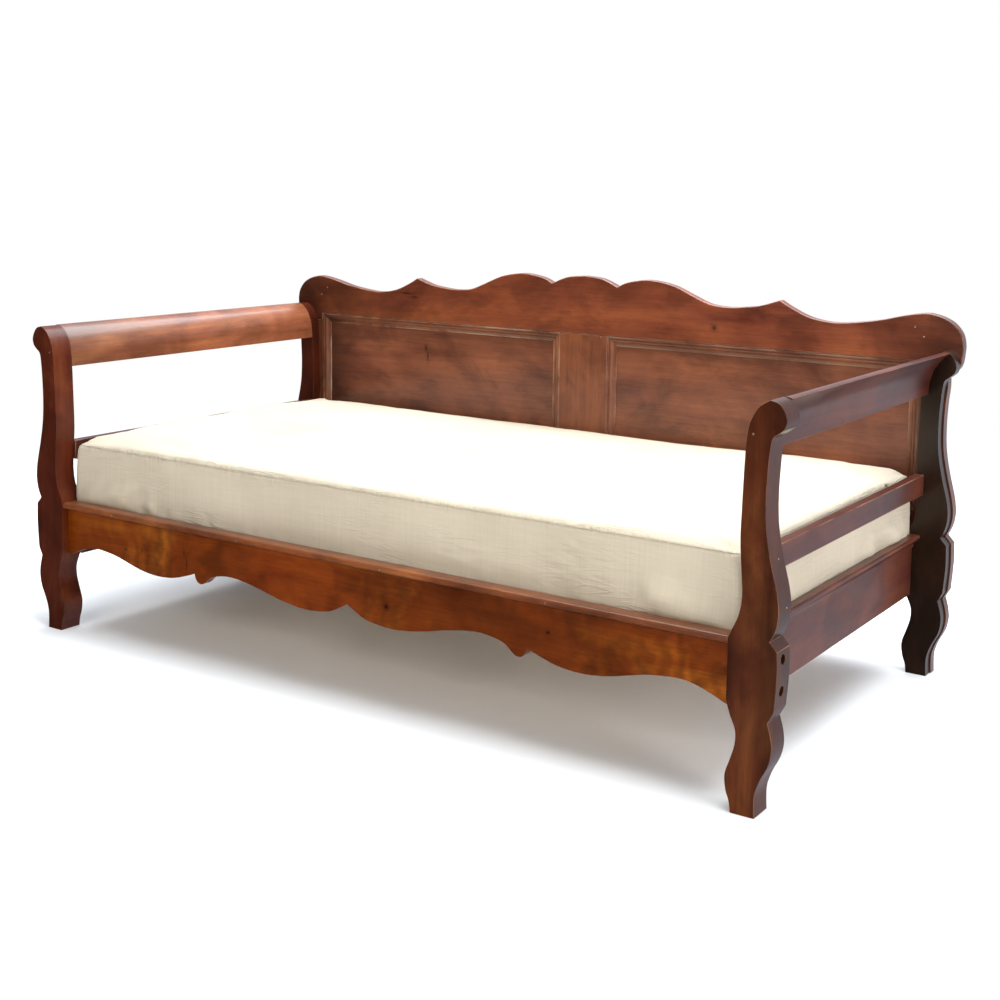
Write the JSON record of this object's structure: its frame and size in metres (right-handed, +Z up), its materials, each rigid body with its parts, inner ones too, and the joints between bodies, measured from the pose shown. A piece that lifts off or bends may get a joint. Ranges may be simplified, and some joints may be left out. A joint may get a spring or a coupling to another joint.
{
  "type": "daybed",
  "caption": "Mahogany daybed with scrolled end frames, a scalloped front rail, a tall panelled back with a shaped crest, and a loose cotton mattress on a slatted deck.",
  "frame": {"origin": "on the floor, at the middle of the bounding box in plan", "axes": "+Z up, the open front faces -Y, +X to the sitter's left, which is the viewer's right from the front"},
  "size_m": [2.0486, 1.029, 0.9045],
  "materials": {
    "post_wood": "satin varnish, dark red brown",
    "rail_wood": "satin varnish, red brown",
    "front_wood": "satin varnish, golden brown with mottled figure",
    "back_wood": "satin varnish, red brown",
    "deck_pine": "bare sawn softwood",
    "iron": "dark oiled iron",
    "ticking": "undyed cotton ticking, plain weave"
  },
  "bodies": {
    "frame": {"front_post_left": "post_wood", "rear_post_left": "post_wood", "arm_roll_left": "rail_wood", "arm_slat_left": "rail_wood", "side_rail_left": "rail_wood", "side_cap_left": "rail_wood", "back_stile_left": "post_wood", "back_panel_left": "back_wood", "moulding_left_top": "back_wood", "moulding_left_bottom": "back_wood", "moulding_left_start": "back_wood", "moulding_left_end": "back_wood", "bed_bolt_left_1": "iron", "bolt_nut_left_1": "iron", "bed_bolt_left_2": "iron", "bolt_nut_left_2": "iron", "back_screw_left_1": "iron", "back_screw_left_2": "iron", "back_screw_left_3": "iron", "front_post_right": "post_wood", "rear_post_right": "post_wood", "arm_roll_right": "rail_wood", "arm_slat_right": "rail_wood", "side_rail_right": "rail_wood", "side_cap_right": "rail_wood", "back_stile_right": "post_wood", "back_panel_right": "back_wood", "moulding_right_top": "back_wood", "moulding_right_bottom": "back_wood", "moulding_right_start": "back_wood", "moulding_right_end": "back_wood", "bed_bolt_right_1": "iron", "bolt_nut_right_1": "iron", "bed_bolt_right_2": "iron", "bolt_nut_right_2": "iron", "back_screw_right_1": "iron", "back_screw_right_2": "iron", "back_screw_right_3": "iron", "front_apron": "front_wood", "front_cap": "front_wood", "crest": "back_wood", "back_lower_rail": "back_wood", "back_muntin": "back_wood", "ledger_front": "deck_pine", "ledger_back": "deck_pine", "slat_1": "deck_pine", "slat_2": "deck_pine", "slat_3": "deck_pine", "slat_4": "deck_pine", "slat_5": "deck_pine", "slat_6": "deck_pine", "slat_7": "deck_pine", "slat_8": "deck_pine", "slat_9": "deck_pine", "slat_10": "deck_pine"},
    "mattress": {"mattress": "ticking"}
  },
  "joints": [
    {"name": "mattress_lift", "type": "slide", "parent": "frame", "child": "mattress", "axis": [0, 0, 1], "range_m": [0, 0.4]}
  ]
}
